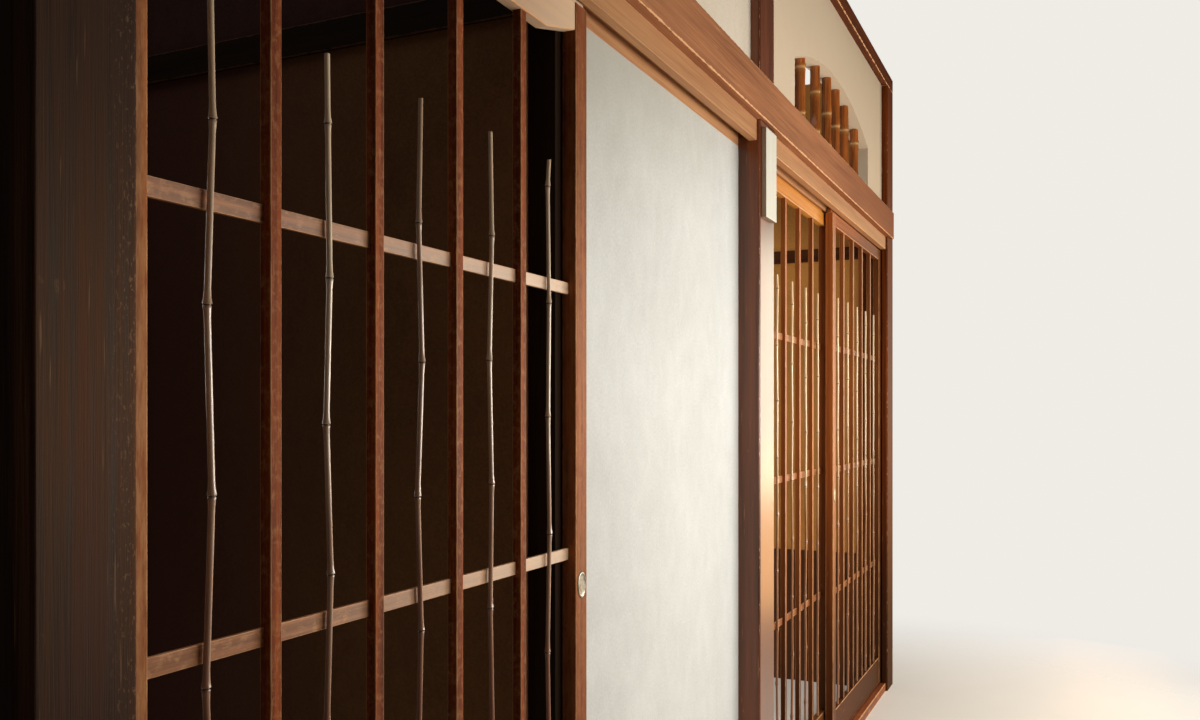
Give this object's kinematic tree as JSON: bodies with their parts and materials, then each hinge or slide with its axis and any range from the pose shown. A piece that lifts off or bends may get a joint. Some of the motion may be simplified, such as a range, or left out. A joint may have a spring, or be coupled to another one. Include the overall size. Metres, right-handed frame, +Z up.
{
  "type": "room front of a japanese inn",
  "caption": "Timber-framed corridor wall of a Japanese inn, with plaster panels, a comb-shaped bamboo window and sliding lattice doors that hold upright canes.",
  "frame": {"origin": "at floor level, in the middle of the part's length and depth", "axes": "+X along the wall from the near post to the far post, +Y from the corridor into the rooms, +Z up"},
  "size_m": [3.885, 1.073, 2.508],
  "materials": {
    "dark_wood": "aged dark cedar, worn satin",
    "warm_wood": "oiled red-brown pine, satin",
    "track_wood": "planed light pine, satin",
    "door_wood": "lacquered red-brown cedar, worn satin",
    "plaster": "fine grey-white lime plaster, matte",
    "cream_plaster": "warm cream clay plaster, matte",
    "room_plaster": "olive-brown clay plaster, matte",
    "cane": "weathered thin bamboo cane, satin",
    "bamboo": "smoked golden-brown bamboo, glossy",
    "metal": "tarnished silver-coloured metal",
    "painted_board": "bare off-white board, matte"
  },
  "bodies": {
    "wall_frame": {"near_post": "dark_wood", "doorway_post": "dark_wood", "middle_post": "warm_wood", "far_post": "warm_wood", "near_sill": "door_wood", "far_sill": "door_wood", "near_head_track": "track_wood", "far_head_track": "track_wood", "front_nageshi": "warm_wood", "back_nageshi": "warm_wood", "wall_plate": "dark_wood", "lower_plaster": "plaster", "near_upper_plaster": "cream_plaster", "far_upper_plaster": "cream_plaster", "window_pole_1": "bamboo", "window_pole_2": "bamboo", "window_pole_3": "bamboo", "window_pole_4": "bamboo", "window_pole_5": "bamboo", "window_pole_6": "bamboo", "name_plate": "painted_board", "near_return_panel": "room_plaster", "near_return_header": "dark_wood", "near_return_upper_wall": "room_plaster", "near_return_post": "dark_wood", "far_return_panel": "room_plaster", "far_return_header": "dark_wood", "far_return_upper_wall": "room_plaster", "far_return_post": "dark_wood", "far_return_boards": "dark_wood"},
    "door_1": {"door_1_lattice": "door_wood", "door_1_pull": "metal", "door_1_cane_1": "cane", "door_1_cane_2": "cane", "door_1_cane_3": "cane", "door_1_cane_4": "cane", "door_1_cane_5": "cane"},
    "door_2": {"door_2_lattice": "door_wood", "door_2_cane_1": "cane", "door_2_cane_2": "cane", "door_2_cane_3": "cane", "door_2_cane_4": "cane", "door_2_cane_5": "cane"},
    "door_3": {"door_3_lattice": "door_wood", "door_3_pull": "metal", "door_3_cane_1": "cane", "door_3_cane_2": "cane", "door_3_cane_3": "cane", "door_3_cane_4": "cane", "door_3_cane_5": "cane"}
  },
  "joints": [
    {"name": "door_1_slide", "type": "slide", "parent": "wall_frame", "child": "door_1", "axis": [1, 0, 0], "range_m": [0, 0.9]},
    {"name": "door_2_slide", "type": "slide", "parent": "wall_frame", "child": "door_2", "axis": [1, 0, 0], "range_m": [0, 0.812]},
    {"name": "door_3_slide", "type": "slide", "parent": "wall_frame", "child": "door_3", "axis": [-1, 0, 0], "range_m": [0, 0.812]}
  ]
}
